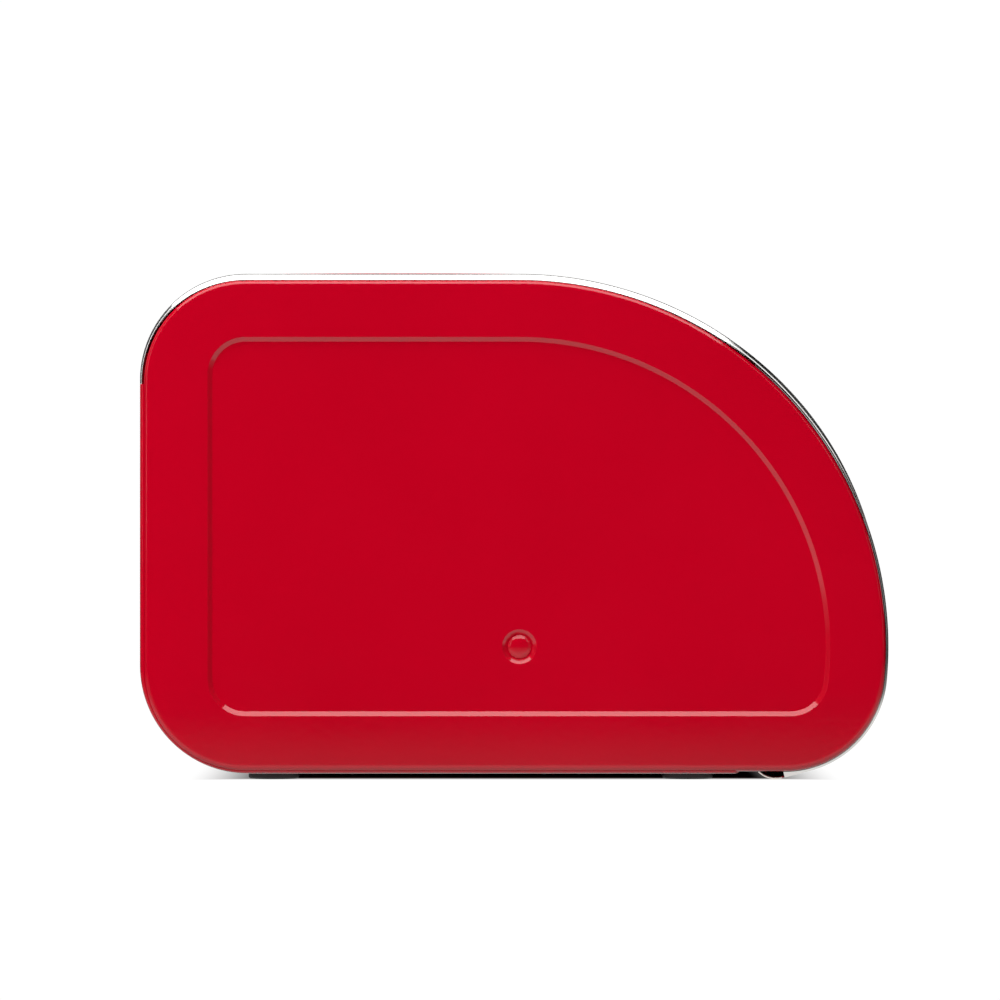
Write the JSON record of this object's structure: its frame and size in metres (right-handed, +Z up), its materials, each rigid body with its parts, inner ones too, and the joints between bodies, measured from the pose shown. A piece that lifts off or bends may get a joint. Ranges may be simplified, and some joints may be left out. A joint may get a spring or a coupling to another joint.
{
  "type": "roll-top bread bin",
  "caption": "Pressed-steel bread bin with a flat top, rounded front and a curved lid that rolls back under the top; glossy red lacquer with bright steel edges.",
  "frame": {"origin": "on the standing surface, under the middle of the bin's box with the lid closed", "axes": "+X to the front, where the lid opens; +Y along the bin, from the left end to the right end as seen from the front; +Z up"},
  "size_m": [0.2656, 0.445, 0.18],
  "materials": {
    "red_lacquer": "gloss",
    "polished_steel": "polished",
    "zinc_steel": "zinc plated, satin",
    "nylon": "matte",
    "rubber": "matte"
  },
  "bodies": {
    "bin": {"end_panel_left": "red_lacquer", "end_panel_right": "red_lacquer", "back_shell": "red_lacquer", "top_cover": "red_lacquer", "cover_trim_left": "polished_steel", "cover_trim_right": "polished_steel", "pivot_rivet_left": "red_lacquer", "pivot_rivet_right": "red_lacquer", "pivot_washer_left": "zinc_steel", "pivot_washer_right": "zinc_steel", "closed_stop_left": "rubber", "closed_stop_right": "rubber", "open_stop_left": "rubber", "open_stop_right": "rubber", "foot_front_left": "rubber", "foot_front_right": "rubber", "foot_back_left": "rubber", "foot_back_right": "rubber"},
    "lid": {"lid_skin": "red_lacquer", "lid_trim_left": "polished_steel", "lid_trim_right": "polished_steel", "lid_arm_left": "zinc_steel", "lid_arm_right": "zinc_steel", "arm_rivets_left": "zinc_steel", "arm_rivets_right": "zinc_steel", "pivot_bush_left": "nylon", "pivot_bush_right": "nylon"}
  },
  "joints": [
    {"name": "lid_roll", "type": "hinge", "parent": "bin", "child": "lid", "pos_m": [0.0018, 0, 0.0476], "axis": [0, -1, 0], "range_deg": [0, 80]}
  ]
}
